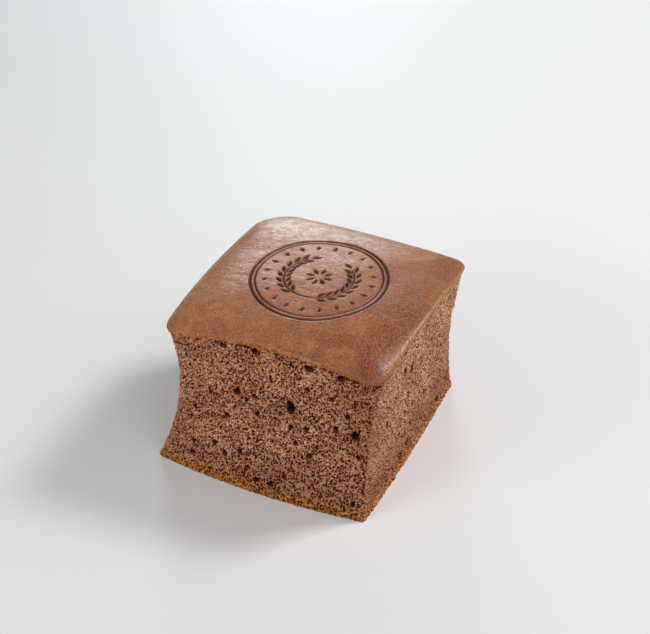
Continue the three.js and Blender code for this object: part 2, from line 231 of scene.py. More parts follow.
def blend_corners(u, v, values):
    """A value given at the four corners, blended over the square from -1 to 1."""
    total = 0.0
    for (sign_u, sign_v), value in zip(CORNER_SIGNS, values):
        total = total + (1 + sign_u * u) * (1 + sign_v * v) * value / 4
    return total


def blend_sides(u, v, values):
    """A value given for the four sides, in the direction of u, v."""
    weights = [np.clip(nearness, 0, None) ** 4 for nearness in (-v, u, v, -u)]
    total = np.maximum(sum(weights), TINY)
    return sum(weight * value for weight, value in zip(weights, values)) / total


def nearest_corner(u, v, values):
    """The value of the corner that u, v is nearest to."""
    front = np.where(u < 0, values[0], values[1])
    back = np.where(u < 0, values[3], values[2])
    return np.where(v < 0, front, back)


def plan_point(u, v, corners, swell):
    """x and y of a point of the square, stretched over the corners with its sides swollen."""
    front, right, back, left = swell
    x = blend_corners(u, v, corners[:, 0]) + np.where(u > 0, right, left) * u * (1 - v * v)
    y = blend_corners(u, v, corners[:, 1]) + np.where(v > 0, back, front) * v * (1 - u * u)
    return x, y


def on_square(t):
    """Round the square once: t from 0 to 4, one unit a side, front, right, back and left."""
    side = np.floor(t).astype(int) % 4
    f = (t - np.floor(t)) * 2 - 1
    one = np.ones_like(f)
    return np.choose(side, [f, one, -f, -one]), np.choose(side, [-one, f, one, -f])


def square_place(a, b):
    """t of a point on the edge of the square, the inverse of on_square."""
    front, right, back = b <= -1 + TINY, a >= 1 - TINY, b >= 1 - TINY
    t = np.where(back, 2 + (1 - a) / 2, 3 + (1 - b) / 2)
    t = np.where(right & ~back, 1 + (b + 1) / 2, t)
    return np.where(front, (a + 1) / 2, t)


def rounded(u, v, radius):
    """A point of the square's edge, with the corner turned on a quarter circle of that radius."""
    a, b = np.abs(u), np.abs(v)
    straight = 1 - radius
    share = np.where(b < a, (b - straight) / (2 * radius), 1 - (a - straight) / (2 * radius))
    angle = share * math.pi / 2
    turned = np.minimum(a, b) > straight
    round_u = np.sign(u) * (straight + radius * np.cos(angle))
    round_v = np.sign(v) * (straight + radius * np.sin(angle))
    return np.where(turned, round_u, u), np.where(turned, round_v, v)


def edge_height(u, v):
    """Height of the skin's edge in the direction of u, v; highest midway between corners."""
    size = (np.abs(u) ** SQUARENESS + np.abs(v) ** SQUARENESS) ** (1 / SQUARENESS)
    size = np.maximum(size, TINY)
    cornerness = (u * v) ** 2 / size ** 4
    arch = blend_sides(u, v, EDGE_ARCH) * (1 - cornerness)
    return blend_corners(u / size, v / size, CORNER_HEIGHT) + arch


def side_points(t, k, out=0.0):
    """Points of the sides: t round the block, k from 0 at the foot to 1 at the skin's edge."""
    u, v = on_square(t)
    foot_round, brow_round = nearest_corner(u, v, FOOT_ROUND), nearest_corner(u, v, BROW_ROUND)
    u, v = rounded(u, v, foot_round * (1 - k * k) + brow_round * k * k)
    foot_x, foot_y = plan_point(u, v, FOOT, FOOT_SWELL)
    brow_x, brow_y = plan_point(u, v, BROW, BROW_SWELL)
    near_corner = np.minimum(np.abs(u), np.abs(v)) ** 2
    waist = blend_corners(u, v, CORNER_WAIST) * near_corner
    waist = waist + blend_sides(u, v, SIDE_WAIST) * (1 - near_corner)
    inward = waist * np.clip(np.sin(math.pi * k), 0, 1) ** WAIST_FULLNESS - out
    x = foot_x * (1 - k) + brow_x * k - u * inward
    y = foot_y * (1 - k) + brow_y * k - v * inward
    return np.stack([x, y, k * edge_height(u, v)], axis=-1)


def outward_directions(t, k):
    """Directions straight out of the sides."""
    nearby = 0.006
    low, high = np.clip(k - nearby, 0, 1), np.clip(k + nearby, 0, 1)
    along = unit(side_points(t + nearby, k) - side_points(t - nearby + 4, k))
    upward = unit(side_points(t + 4, high) - side_points(t + 4, low))
    return unit(np.cross(along, upward))


def skin_points(u, v, rho):
    """Points of the skin: u, v on the rounded rim, rho from 1 at the rim to 0 in the middle."""
    x, y = plan_point(u * rho, v * rho, BROW, BROW_SWELL)
    rim = edge_height(u, v) * rho ** 4 + SKIN_MIDDLE * (1 - rho ** 4)
    roll = ROLL_AT_MIDDLE * (1 - rho * rho) + blend_sides(u, v, ROLL_RISE) * rho * rho
    z = rim + CROWN_RISE * (1 - rho * rho) + roll * np.sqrt(np.clip(1 - rho ** 8, 0, 1))
    return np.stack([x, y, z], axis=-1)


# ---- node and mesh helpers

class Graph:
    """Adds nodes to a tree. A number, a colour or another node's socket may feed any input."""

    def __init__(self, tree):
        self.tree = tree

    def add(self, kind, inputs=None, **settings):
        node = self.tree.nodes.new(kind)
        for name, value in settings.items():
            setattr(node, name, value)
        for key, value in (inputs or {}).items():
            if isinstance(value, bpy.types.NodeSocket):
                self.tree.links.new(value, node.inputs[key])
            else:
                node.inputs[key].default_value = value
        return node

    def math(self, operation, *values):
        return self.add("ShaderNodeMath", dict(enumerate(values)), operation=operation).outputs[0]

    def chain(self, operation, values):
        result = values[0]
        for value in values[1:]:
            result = self.math(operation, result, value)
        return result

    def times(self, *values):
        return self.chain("MULTIPLY", values)

    def plus(self, *values):
        return self.chain("ADD", values)

    def most(self, *values):
        return self.chain("MAXIMUM", values)

    def vector(self, operation, *values):
        node = self.add("ShaderNodeVectorMath", dict(enumerate(values)), operation=operation)
        return node.outputs["Value" if operation in ("LENGTH", "DOT_PRODUCT") else "Vector"]

    def along(self, vector, direction):
        """How far a vector reaches in a direction."""
        return self.vector("DOT_PRODUCT", vector, direction)

    def scaled(self, vector, factor):
        node = self.add("ShaderNodeVectorMath", {"Vector": vector, "Scale": factor}, operation="SCALE")
        return node.outputs["Vector"]

    def step(self, value, low, high, to_low=0.0, to_high=1.0):
        """A smooth rise from to_low to to_high as the value goes from low to high."""
        inputs = {"Value": value, "From Min": low, "From Max": high, "To Min": to_low, "To Max": to_high}
        return self.add("ShaderNodeMapRange", inputs, interpolation_type="SMOOTHSTEP").outputs["Result"]

    def mix(self, factor, a, b):
        inputs = {0: factor, 2: a, 3: b}
        return self.add("ShaderNodeMix", inputs, data_type="FLOAT").outputs[0]

    def colour_mix(self, factor, a, b, blend="MIX"):
        inputs = {0: factor, 6: a, 7: b}
        return self.add("ShaderNodeMix", inputs, data_type="RGBA", blend_type=blend).outputs[2]

    def lumps(self, vector, size, detail, roughness):
        """A noise node whose lumps are about size metres across."""
        inputs = {"Vector": vector, "Scale": 1 / size, "Detail": detail, "Roughness": roughness}
        return self.add("ShaderNodeTexNoise", inputs)

    def noise(self, vector, size, detail=2.0, roughness=0.5):
        """A value between 0 and 1 that changes from lump to lump."""
        return self.lumps(vector, size, detail, roughness).outputs[0]

    def unevenness(self, vector, size):
        """The same, about nothing on average."""
        return self.math("SUBTRACT", self.noise(vector, size), 0.5)

    def swirl(self, vector, size, detail=2.0, roughness=0.5):
        """A vector that changes from lump to lump, about nothing on average."""
        colour = self.lumps(vector, size, detail, roughness).outputs["Color"]
        return self.vector("SUBTRACT", colour, (0.5, 0.5, 0.5))

    def cells(self, vector, scale, randomness=1.0):
        """A node of loosely packed round cells."""
        inputs = {"Vector": vector, "Scale": scale, "Randomness": randomness}
        return self.add("ShaderNodeTexVoronoi", inputs, feature="F1")


class PieceTree(Graph):
    """A geometry node tree with named inputs, which moves the points of a piece."""

    def __init__(self, name):
        super().__init__(bpy.data.node_groups.new(name, "GeometryNodeTree"))
        face = self.tree.interface
        face.new_socket("Geometry", in_out="INPUT", socket_type="NodeSocketGeometry")
        face.new_socket("Geometry", in_out="OUTPUT", socket_type="NodeSocketGeometry")
        self.tree.is_modifier = True
        self.entry = self.tree.nodes.new("NodeGroupInput")

    def value(self, name, kind="Float"):
        self.tree.interface.new_socket(name, in_out="INPUT", socket_type="NodeSocket" + kind)
        return self.entry.outputs[name]

    def place(self):
        return self.add("GeometryNodeInputPosition").outputs[0]

    def attribute(self, name, data_type="FLOAT"):
        node = self.add("GeometryNodeInputNamedAttribute", {"Name": name}, data_type=data_type)
        return node.outputs["Attribute"]

    def finish(self, offset, kept=None):
        """Keeps values on the points, moves the points by the offset, and ends the tree in Realize
        Instances and Set Material."""
        steps = []
        for name, value in (kept or {}).items():
            steps.append(("StoreNamedAttribute", {"Name": name, "Value": value}))
        steps.append(("SetPosition", {"Offset": offset}))
        steps.append(("RealizeInstances", {}))
        steps.append(("SetMaterial", {"Material": self.value("Material", "Material")}))
        geometry = self.entry.outputs["Geometry"]
        for kind, inputs in steps:
            node = self.add("GeometryNode" + kind, {"Geometry": geometry, **inputs})
            geometry = node.outputs["Geometry"]
        exit_node = self.tree.nodes.new("NodeGroupOutput")
        self.tree.links.new(geometry, exit_node.inputs["Geometry"])
        return self.tree


def grow(piece, tree, values):
    """Runs a tree on a piece with the named values, and leaves a plain mesh."""
    modifier = piece.modifiers.new(tree.name, "NODES")
    modifier.node_group = tree
    for item in tree.interface.items_tree:
        if item.in_out == "INPUT" and item.name in values:
            modifier[item.identifier] = values[item.name]
    depsgraph = bpy.context.evaluated_depsgraph_get()
    depsgraph.update()
    mesh = bpy.data.meshes.new_from_object(
        piece.evaluated_get(depsgraph), preserve_all_data_layers=True, depsgraph=depsgraph
    )
    mesh.name = piece.name
    piece.modifiers.remove(modifier)
    piece.data = mesh
    return piece


def make_mesh(name, points, faces, attributes=None, uvs=None):
    """An object at the origin from points in millimetres, with values stored on its points; the
    last points get 0 where there are fewer values."""
    mesh = bpy.data.meshes.new(name)
    mesh.from_pydata((np.asarray(points) * MM).tolist(), [], faces)
    for key, values in (attributes or {}).items():
        full = np.zeros((len(points),) + np.shape(values)[1:], np.float32)
        full[:len(values)] = values
        kind, field = ("FLOAT_VECTOR", "vector") if full.ndim == 2 else ("FLOAT", "value")
        mesh.attributes.new(key, kind, "POINT").data.foreach_set(field, full.ravel())
    if uvs is not None:
        corners = np.empty(len(mesh.loops), int)
        mesh.loops.foreach_get("vertex_index", corners)
        layer = mesh.uv_layers.new(name="OFBake")
        layer.data.foreach_set("uv", np.asarray(uvs, np.float32)[corners].ravel())
    mesh.shade_smooth()
    mesh.update()
    piece = bpy.data.objects.new(name, mesh)
    bpy.context.scene.collection.objects.link(piece)
    return piece


def grid_faces(columns, rows):
    """Quads between points that lie row after row, seen from the side where columns run right."""
    i, j = np.meshgrid(np.arange(columns - 1), np.arange(rows - 1))
    a = (j * columns + i).ravel()
    return np.stack([a, a + 1, a + columns + 1, a + columns], axis=1).tolist()


def grid_border(columns, rows):
    """The points round a grid, in the direction that its faces turn."""
    bottom = np.arange(columns)
    right = np.arange(1, rows) * columns + columns - 1
    top = (rows - 1) * columns + np.arange(columns - 2, -1, -1)
    left = np.arange(rows - 2, 0, -1) * columns
    return np.concatenate([bottom, right, top, left])


# ---- crumb

def random_numbers(seed):
    """The repeatable draw that also places the holes of the solid."""
    modulus = 2 ** 32
    state = seed
    while True:
        state = (state * 1664525 + 1013904223) % modulus
        yield state / modulus


def crumb_holes():
    """Centre, width and height of every large hole, listed ones first."""
    draw = random_numbers(SEED)
    holes = []

    def centre_of(side, across, up):
        return side_points(np.array([side + (across + 1) / 2]), np.array([up]))[0]

    def add(centre, width, height):
        holes.append((centre, width, height))
        next(draw)  # the solid draws the turn of its hole here

    for side, placed in enumerate((FRONT_HOLES, RIGHT_HOLES)):
        for across, up, width, height in placed:
            add(centre_of(side, across, up), width, height)
    narrowest, widest = SCATTER_SIZE
    for side, wanted in enumerate(SCATTERED_HOLES):
        made = 0
        while made < wanted:
            across = next(draw) * 2 * SCATTER_REACH - SCATTER_REACH
            up = SCATTER_LOW + next(draw) * SCATTER_RISE
            width = narrowest + next(draw) * next(draw) * (widest - narrowest)
            height = width * (0.85 + next(draw) * 0.5)
            centre = centre_of(side, across, up)
            if all(np.linalg.norm(centre - other[0]) > SCATTER_SPACING for other in holes):
                add(centre, width, height)
                made += 1
    return holes


def holes_cloud(holes):
    """The holes as loose points that carry their half sizes, for the crumb's tree to look up."""
    centres = [centre for centre, _, _ in holes]
    half_sizes = [(width / 2 * MM, height / 2 * MM, 0.0) for _, width, height in holes]
    return make_mesh("holes_cloud", centres, [], {"half_size": half_sizes})


def bubbles(graph, place, spacing, smallest, largest, ramp, scatter):
    """Depth from 0 on the walls to 1 inside bubbles that the torn side cuts through."""
    cells = graph.cells(place, graph.math("DIVIDE", 1.0, spacing), scatter)
    chance = graph.along(cells.outputs["Color"], (1, 0, 0))
    radius = graph.mix(chance, smallest, largest)
    inner = graph.math("SUBTRACT", radius, ramp)
    return graph.step(cells.outputs["Distance"], radius, inner)


def foam(graph, place, sizes):
    """Wide, fine and stray pores of the torn sponge, each as a depth from 0 to 1."""
    bent = graph.vector("ADD", place, graph.scaled(graph.swirl(place, 0.0016), sizes["Pore Bend"]))
    return [bubbles(graph, bent, sizes[name + " Spacing"], *shape) for name, *shape in PORES]


def crumb_tree():
    """Opens pores, large holes, a torn gap under the skin, a crack and a crevice into a side."""
    tree = PieceTree("TornCrumb")
    holes = tree.value("Holes", "Object")
    core_shift = tree.value("Core Shift")
    sizes = {name: tree.value(name) for name in CRUMB_RELIEF}
    place = tree.place()
    outward = tree.attribute("outward", "FLOAT_VECTOR")
    wide, fine, stray = foam(tree, place, sizes)
    wide = tree.times(wide, sizes["Wide Pore Depth"])
    fine = tree.times(fine, sizes["Fine Pore Depth"])
    stray = tree.times(stray, sizes["Stray Hole Depth"])
    pores = tree.plus(tree.most(wide, stray), fine)

    # The nearest large hole, as a ragged bowl of its own width and height.
    cloud = tree.add("GeometryNodeObjectInfo", {"Object": holes}).outputs["Geometry"]
    nearest = tree.add("GeometryNodeSampleNearest", {"Geometry": cloud}, domain="POINT").outputs[0]

    def of_nearest(value):
        inputs = {"Geometry": cloud, "Value": value, "Index": nearest}
        node = tree.add("GeometryNodeSampleIndex", inputs, data_type="FLOAT_VECTOR", domain="POINT")
        return node.outputs["Value"]

    half_size = of_nearest(tree.attribute("half_size", "FLOAT_VECTOR"))
    half_width, half_height = tree.add("ShaderNodeSeparateXYZ", {0: half_size}).outputs[:2]
    ragged = tree.swirl(place, 0.0022, detail=3.0, roughness=0.6)
    ragged = tree.scaled(ragged, sizes["Hole Raggedness"])
    reach = tree.vector("SUBTRACT", tree.vector("ADD", place, ragged), of_nearest(place))

    def span(reach):
        """How far a place is from the middle of the hole, as a share of the hole's half size."""
        across = tree.vector("LENGTH", tree.vector("MULTIPLY", reach, (1, 1, 0)))
        across = tree.math("DIVIDE", across, half_width)
        upward = tree.math("DIVIDE", tree.along(reach, UP), half_height)
        return tree.math("SQRT", tree.plus(tree.times(across, across), tree.times(upward, upward)))

    bowl = tree.step(span(reach), 1.0, 0.78)
    # The painted shadow inside the hole lies to one side and a little high.
    leftward = tree.vector("CROSS_PRODUCT", outward, UP)
    shift = tree.scaled(leftward, tree.times(half_width, core_shift))
    shift = tree.vector("ADD", shift, (0, 0, 0.0005))
    core = tree.step(span(tree.vector("SUBTRACT", reach, shift)), 1.0, 0.7)
    core = tree.times(core, tree.step(span(reach), 1.03, 0.9))

    # Torn gaps where the skin has lifted off the crumb, the crack and the crevice.
    rough = tree.noise(place, 0.0026)
    lifted = tree.step(tree.noise(place, 0.006), 0.54, 0.62)
    gap = tree.times(lifted, tree.step(tree.attribute("below_skin"), 0.0046, 0.0024, 0.0, 0.8))
    gap = tree.most(gap, tree.attribute("crack"))
    crevice = tree.times(tree.attribute("crevice"), tree.step(rough, 0.4, 0.56))
    # The gaps, the crack and the crevice take a share of the painted shade and painted shadow of the
    # holes.
    large = tree.most(bowl, gap, tree.times(crevice, 0.2))
    core = tree.most(core, tree.times(gap, 0.7), tree.times(crevice, 0.6))

    bowl = tree.times(bowl, tree.times(half_width, sizes["Hole Depth"]))
    gap = tree.times(tree.most(gap, crevice), sizes["Gap Depth"])
    lift = tree.times(tree.unevenness(place, 0.013), sizes["Wave Height"])
    lift = tree.plus(lift, tree.times(tree.math("SUBTRACT", rough, 0.5), sizes["Lump Height"]))
    hollow = tree.most(pores, tree.most(bowl, gap))
    offset = tree.times(tree.math("SUBTRACT", lift, hollow), tree.attribute("relief"))

    return tree.finish(tree.scaled(outward, offset), {"large": large, "core": core})


def crumb_side(side, tree, cloud, material):
    """One torn side, as a slab that is closed behind and meets its neighbours on the corner lines."""
    width = np.linalg.norm(FOOT[side] - FOOT[(side + 1) % 4])
    columns = int(width / CRUMB_STEP)
    rows = int(MEAN_HEIGHT / CRUMB_STEP)
    t, k = np.meshgrid(np.linspace(side, side + 1, columns), np.linspace(0, CRUMB_HIGH, rows))
    t, k = t.ravel(), k.ravel()
    outer = side_points(t, k)
    outward = outward_directions(t, k)
    outward[:, 2] *= smooth(outer[:, 2] / FOOT_EASE)
    edge = side_points(t, np.ones_like(k))[:, 2]

    border = grid_border(columns, rows)
    behind = outer[border] * np.array([BEHIND, BEHIND, 1.0])
    behind[:, 2] = np.maximum(behind[:, 2], BOTTOM_CRUST)
    middle = behind.mean(axis=0, keepdims=True)
    points = np.concatenate([outer, behind, middle])
    count, first = len(border), len(outer)
    faces = grid_faces(columns, rows)
    for i in range(count):
        j = (i + 1) % count
        faces.append([border[j], border[i], first + i, first + j])
        faces.append([first + j, first + i, first + count])

    hidden = count + 1
    below = edge - outer[:, 2]
    wrapped, crack = wrapped_corner(t, below)
    attributes = {
        "rest": points * MM,
        "outward": outward,
        "relief": 1 - WRAP_CALM * wrapped,
        "below_skin": np.append(below, np.full(hidden, FAR_BELOW)) * MM,
        "browned": browned_edge(t, k),
        "wrapped": wrapped,
        "crack": crack,
        "crevice": corner_crevice(t, k),
        "pale": np.full(len(points), PAINTED_LIGHT_PALENESS[side]),
    }
    # The side that shows fills the UV map but for a strip at its top, which holds what is hidden.
    shown = np.stack([t - side, 0.97 * k / CRUMB_HIGH], axis=1)
    strip = np.stack([np.linspace(0, 1, hidden), np.full(hidden, 0.99)], axis=1)
    uvs = np.concatenate([shown, strip])
    piece = make_mesh("crumb_" + SIDE_NAMES[side], points, faces, attributes, uvs)
    values = {"Holes": cloud, "Core Shift": CORE_SHIFT[side], "Material": material}
    return grow(piece, tree, {**CRUMB_RELIEF, **values})


def browned_edge(t, k):
    """Where a corner line still shows a browned edge, up to three quarters of the height."""
    past = t - CORNER_LINE_SHIFT
    nearest = np.round(past).astype(int)
    line = band(k, CORNER_LINE_SPAN, 0.06, 0.2) * soft_line(past, nearest, CORNER_LINE_WIDTH)
    return line * np.choose(nearest % 4, CORNER_BROWNING)


def corner_crevice(t, k):
    """Where a crevice has torn open along the corner line at the front right."""
    middle = CREVICE_PLACE + CREVICE_WANDER * np.sin(CREVICE_BENDS * k)
    return CREVICE_STRENGTH * band(k, CREVICE_SPAN, 0.05, 0.05) * soft_line(t, middle, CREVICE_WIDTH)


def wrapped_corner(t, below):
    """Where the skin wraps down the front left corner, and the crack that runs under it."""
    distance = np.minimum(t * WRAP_ON_FRONT, 4 - t)
    wrapped = smooth((WRAP_REACH - distance) / 0.015) * smooth((WRAP_DROP - below) / 0.8)
    middle = CRACK_DROP + CRACK_WANDER * np.sin(CRACK_BENDS * t)
    crack = smooth((CRACK_END - t) / 0.03) * soft_line(below, middle, CRACK_WIDTH)
    return wrapped, crack


# ---- skin with its stamp

def leaf_distance(x, y, radius, angle, facing, length, width):
    """Distance to a pointed oval at a radius and an angle, less than zero inside."""
    dx, dy = x - radius * math.cos(angle), y - radius * math.sin(angle)
    along = dx * math.cos(facing) + dy * math.sin(facing)
    across = np.abs(dy * math.cos(facing) - dx * math.sin(facing))
    half_width = LEAF_FULLNESS * width * (1 - (2 * along / length) ** 2)
    return np.maximum(across - half_width, np.abs(along) - length / 2)


def ring_distance(x, y, radius, line):
    return np.abs(np.hypot(x, y) - radius) - line / 2


def lozenge_distance(x, y, angle):
    """Distance to the lozenge of the circle that lies at an angle and points outwards."""
    along = np.abs(x * math.cos(angle) + y * math.sin(angle) - LOZENGE_CIRCLE)
    across = np.abs(y * math.cos(angle) - x * math.sin(angle))
    length, width = LOZENGE
    return (along * width + across * length - length * width / 2) / math.hypot(length, width)


def ear_distance(x, y):
    """Distance to the right-hand ear of wheat and its stalk; x may be mirrored for the left one."""
    wreath = WREATH_TO - WREATH_FROM
    marks = []
    for i in range(GRAIN_PAIRS):
        angle = WREATH_FROM + wreath * (i + FIRST_GRAIN) / (GRAIN_PAIRS + 1)
        for outer in (1, -1):
            radius = WREATH_RADIUS + outer * GRAIN_OFFSET
            facing = angle + math.pi / 2 - outer * GRAIN_SPLAY
            marks.append(leaf_distance(x, y, radius, angle, facing, *GRAIN))
    tip = WREATH_TO + TIP_TURN
    marks.append(leaf_distance(x, y, WREATH_RADIUS, tip, tip + math.pi / 2, *GRAIN))
    angle = np.arctan2(y, x)
    start, end = WREATH_FROM + STALK_FROM * wreath, WREATH_FROM + STALK_TO * wreath
    past = np.maximum(start - angle, angle - end) * WREATH_RADIUS
    marks.append(np.maximum(ring_distance(x, y, WREATH_RADIUS, STALK_WIDTH), past))
    return np.minimum.reduce(marks)


def stamp_distance(x, y):
    """Distance from a point of the plan to the nearest stamped line, less than zero inside it."""
    x, y = x - STAMP_CENTRE[0], y - STAMP_CENTRE[1]
    marks = [
        ring_distance(x, y, RING_RADIUS, RING_LINE),
        ring_distance(x, y, RING_RADIUS - RING_GAP, RING_THIN_LINE),
        ear_distance(x, y),
        ear_distance(-x, y),
    ]
    radius = ROSETTE_RADIUS - PETAL[0] / 2
    for i in range(ROSETTE_PETALS):
        angle = i / ROSETTE_PETALS * 2 * math.pi
        marks.append(leaf_distance(x, y, radius, angle, angle, *PETAL))
    for i in range(LOZENGE_COUNT):
        marks.append(lozenge_distance(x, y, (i + 0.5) / LOZENGE_COUNT * 2 * math.pi))
    return np.minimum.reduce(marks)


def skin_lines(low, high, half):
    """Grid lines from -1 to 1 across the skin, close together on the stamp and along the rim."""
    inner = half - SKIN_RIM_BAND
    stretches = (
        (-half, -inner, SKIN_RIM_STEP), (-inner, low, SKIN_COARSE_STEP), (low, high, STAMP_STEP),
        (high, inner, SKIN_COARSE_STEP), (inner, half, SKIN_RIM_STEP),
    )
    lines = []
    for start, end, step in stretches:
        lines.append(np.linspace(start, end, round((end - start) / step), endpoint=False))
    return np.concatenate(lines + [[half]]) / half


def skin_tree():
    """Presses the stamp into the skin, and gives it its unevenness and fine creases."""
    tree = PieceTree("BakedSkin")
    stamp_depth = tree.value("Stamp Depth")
    unevenness = tree.value("Unevenness")
    crease_depth = tree.value("Crease Depth")
    rim_roughness = tree.value("Rim Roughness")
    place = tree.place()
    normal = tree.add("GeometryNodeInputNormal").outputs[0]
    top = tree.attribute("top")

    long_ways = tree.vector("MULTIPLY", place, (0.25, 1.0, 1.0))
    lift = tree.times(tree.unevenness(place, 0.028), unevenness, top)
    lift = tree.plus(lift, tree.times(tree.unevenness(long_ways, 0.0024), crease_depth, top))
    lift = tree.math("SUBTRACT", lift, tree.times(tree.attribute("burn"), stamp_depth))
    torn = tree.times(tree.unevenness(place, 0.0016), rim_roughness, tree.attribute("rim"))
    lift = tree.plus(lift, torn)
    return tree.finish(tree.scaled(normal, lift))


def thin_spots(x, y):
    """Where the skin is thin: 1 in the middle of a spot, fading to 0 at its edge."""
    thinness = np.zeros(len(x))
    for spot_x, spot_y, radius in THIN_SPOTS:
        away = np.hypot(x - spot_x, y - spot_y)
        thinness = np.maximum(thinness, 1 - smooth(away / radius))
    return thinness


def top_skin(material):
    """The domed skin with its rolled rim, cut edge and underside, closed inside the block."""
    stamp_reach = RING_RADIUS + RING_LINE + STAMP_MARGIN
    lines = skin_lines(-stamp_reach, stamp_reach, HALF_BLOCK)
    a, b = np.meshgrid(lines, lines)
    a, b = a.ravel(), b.ravel()
    rho = np.maximum(np.abs(a), np.abs(b))
    u, v = a / np.maximum(rho, TINY), b / np.maximum(rho, TINY)
    u, v = rounded(u, v, nearest_corner(u, v, BROW_ROUND))
    shown = skin_points(u, v, rho)
    points = [shown]
    faces = grid_faces(len(lines), len(lines))

    # Below the rim: the cut edge of the skin, then its underside, then the middle.
    border = grid_border(len(lines), len(lines))
    t = square_place(a[border], b[border])
    thickness = SKIN_THICKNESS / MEAN_HEIGHT
    count = len(border)
    start = len(shown)
    upper = border
    for drop, out, _ in SKIN_EDGE:
        points.append(side_points(t, np.full(count, 1 - drop * thickness), out))
        lower = start + np.arange(count)
        faces += np.stack([np.roll(upper, -1), upper, lower, np.roll(lower, -1)], axis=1).tolist()
        upper = lower
        start += count
    points.append(points[-1].mean(axis=0, keepdims=True))
    faces += np.stack([np.roll(upper, -1), upper, np.full(count, start)], axis=1).tolist()
    points = np.concatenate(points)

    distance = stamp_distance(shown[:, 0], shown[:, 1])
    gold = blend_sides(u, v, CUT_GOLD)
    raggedness = np.repeat([ragged for _, _, ragged in SKIN_EDGE], count)
    cut = np.append(smooth((rho - 0.972) / 0.028) * gold, np.tile(gold[border], len(SKIN_EDGE)))
    attributes = {
        "thin_spot": thin_spots(shown[:, 0], shown[:, 1]),
        "burn": 1 - smooth((distance + BURN_SPILL) / BURN_SLOPE),
        "scorch": np.exp(-np.clip(distance, 0, None) / SCORCH_REACH),
        "top": 1 - smooth((rho - 0.9) / 0.1),
        "rim": np.append(smooth((rho - 0.975) / 0.025), raggedness),
        "cut": np.append(cut, 1.0),
    }
    # The skin fills the middle of the UV map, with its edge and underside in rings round it.
    square = np.stack([a, b], axis=1)
    uvs = [square * 0.45 + 0.5]
    uvs += [square[border] * (0.455 + 0.005 * i) + 0.5 for i in range(len(SKIN_EDGE))]
    uvs.append(np.array([[0.5, 0.999]]))
    piece = make_mesh("top_skin", points, faces, attributes, np.concatenate(uvs))
    return grow(piece, skin_tree(), {
        "Stamp Depth": STAMP_DEPTH * MM,
        "Unevenness": 0.0012,
        "Crease Depth": 0.00016,
        "Rim Roughness": 0.0012,
        "Material": material,
    })


# ---- bottom crust

def crust_tree():
    """Pricks shallow pores into the crust the block stands on."""
    tree = PieceTree("BottomCrust")
    grain_size = tree.value("Grain Size")
    grain_depth = tree.value("Grain Depth")
    distance = tree.cells(tree.place(), tree.math("DIVIDE", 1.0, grain_size)).outputs["Distance"]
    pit = tree.times(tree.step(distance, 0.4, 0.15), grain_depth, tree.attribute("inside"))
    return tree.finish(tree.add("ShaderNodeCombineXYZ", {2: pit}).outputs[0])


def bottom_crust(material):
    """The flat underside of the block, closed above inside it."""
    t = np.linspace(0, 4, CRUST_AROUND, endpoint=False)
    rim = side_points(t, np.zeros(CRUST_AROUND), -CRUST_INSET)
    rings = [rim * share + np.array([0, 0, height]) for share, height in CRUST_HIDDEN]
    edge_rings = len(rings) + 1
    for share in [1.0, 0.995] + list(np.linspace(0.985, 0.02, CRUST_RINGS)):
        rings.append(rim * share)
    first = np.arange(CRUST_AROUND)
    faces = []
    for level in range(len(rings) - 1):
        outer = level * CRUST_AROUND + first
        beside = np.roll(outer, -1)
        quads = [outer, outer + CRUST_AROUND, beside + CRUST_AROUND, beside]
        faces += np.stack(quads, axis=1).tolist()

    # The middle of the underside, and the lid over the first ring.
    count = len(rings) * CRUST_AROUND
    middle, lid = np.full(CRUST_AROUND, count), np.full(CRUST_AROUND, count + 1)
    last = count - CRUST_AROUND + first
    faces += np.stack([np.roll(last, -1), last, middle], axis=1).tolist()
    faces += np.stack([first, np.roll(first, -1), lid], axis=1).tolist()
    points = np.concatenate(rings + [np.array([[0.0, 0.0, 0.0], [0.0, 0.0, CRUST_HIDDEN[0][1]]])])
    inside = np.ones(count)
    inside[:edge_rings * CRUST_AROUND] = 0.0
    piece = make_mesh("bottom_crust", points, faces, {"inside": inside})
    return grow(piece, crust_tree(), {"Grain Size": 0.0032, "Grain Depth": 0.0005, "Material": material})


# ---- materials

WALL_DARK = (0.31, 0.105, 0.044, 1)
WALL_LIGHT = (0.78, 0.42, 0.248, 1)
PAINTED_GLINT = (0.95, 0.69, 0.51, 1)
PAINTED_LIGHT_TINT = (1.0, 1.11, 1.14, 1)
PAINTED_LIGHT_GOLD_TINT = (1.02, 1.12, 1.7, 1)
PORE_RIM_SHADE = (0.26, 0.053, 0.008, 1)
PORE_DEPTH_SHADE = (0.115, 0.012, 0.0008, 1)
HOLE_SHADE = (0.12, 0.04, 0.021, 1)
HOLE_SHADOW = (0.014, 0.0025, 0.0012, 1)
PRESSED_AND_SHADED = (0.29, 0.115, 0.068, 1)
WRAPPED = (0.32, 0.125, 0.06, 1)
GOLD_DARK = (0.28, 0.078, 0.013, 1)
GOLD_LIGHT = (0.7, 0.3, 0.068, 1)
GOLD_RIM_SHADE = (0.2, 0.049, 0.008, 1)
GOLD_DEPTH_SHADE = (0.1, 0.021, 0.003, 1)
CORNER_GOLD = (0.52, 0.22, 0.085, 1)

SKIN_LIGHT_SIDE = (0.4, 0.162, 0.078, 1)
SKIN_DARK_SIDE = (0.175, 0.045, 0.014, 1)
SKIN_GOLDEN = (0.47, 0.2, 0.074, 1)
SKIN_BLOTCH = (0.2, 0.06, 0.027, 1)
SKIN_GRAIN = (0.62, 0.285, 0.125, 1)
SKIN_DEEP = (0.15, 0.038, 0.014, 1)
SKIN_THIN = (0.6, 0.32, 0.12, 1)
RIM_GOLD = (0.5, 0.17, 0.04, 1)
EDGE_DARK = (0.24, 0.06, 0.011, 1)
EDGE_LIGHT = (0.5, 0.18, 0.036, 1)
EDGE_GRAIN = (0.66, 0.31, 0.09, 1)
EDGE_DEEP = (0.2, 0.048, 0.011, 1)
SCORCHED = (0.2, 0.065, 0.03, 1)
BURNED = (0.062, 0.015, 0.007, 1)

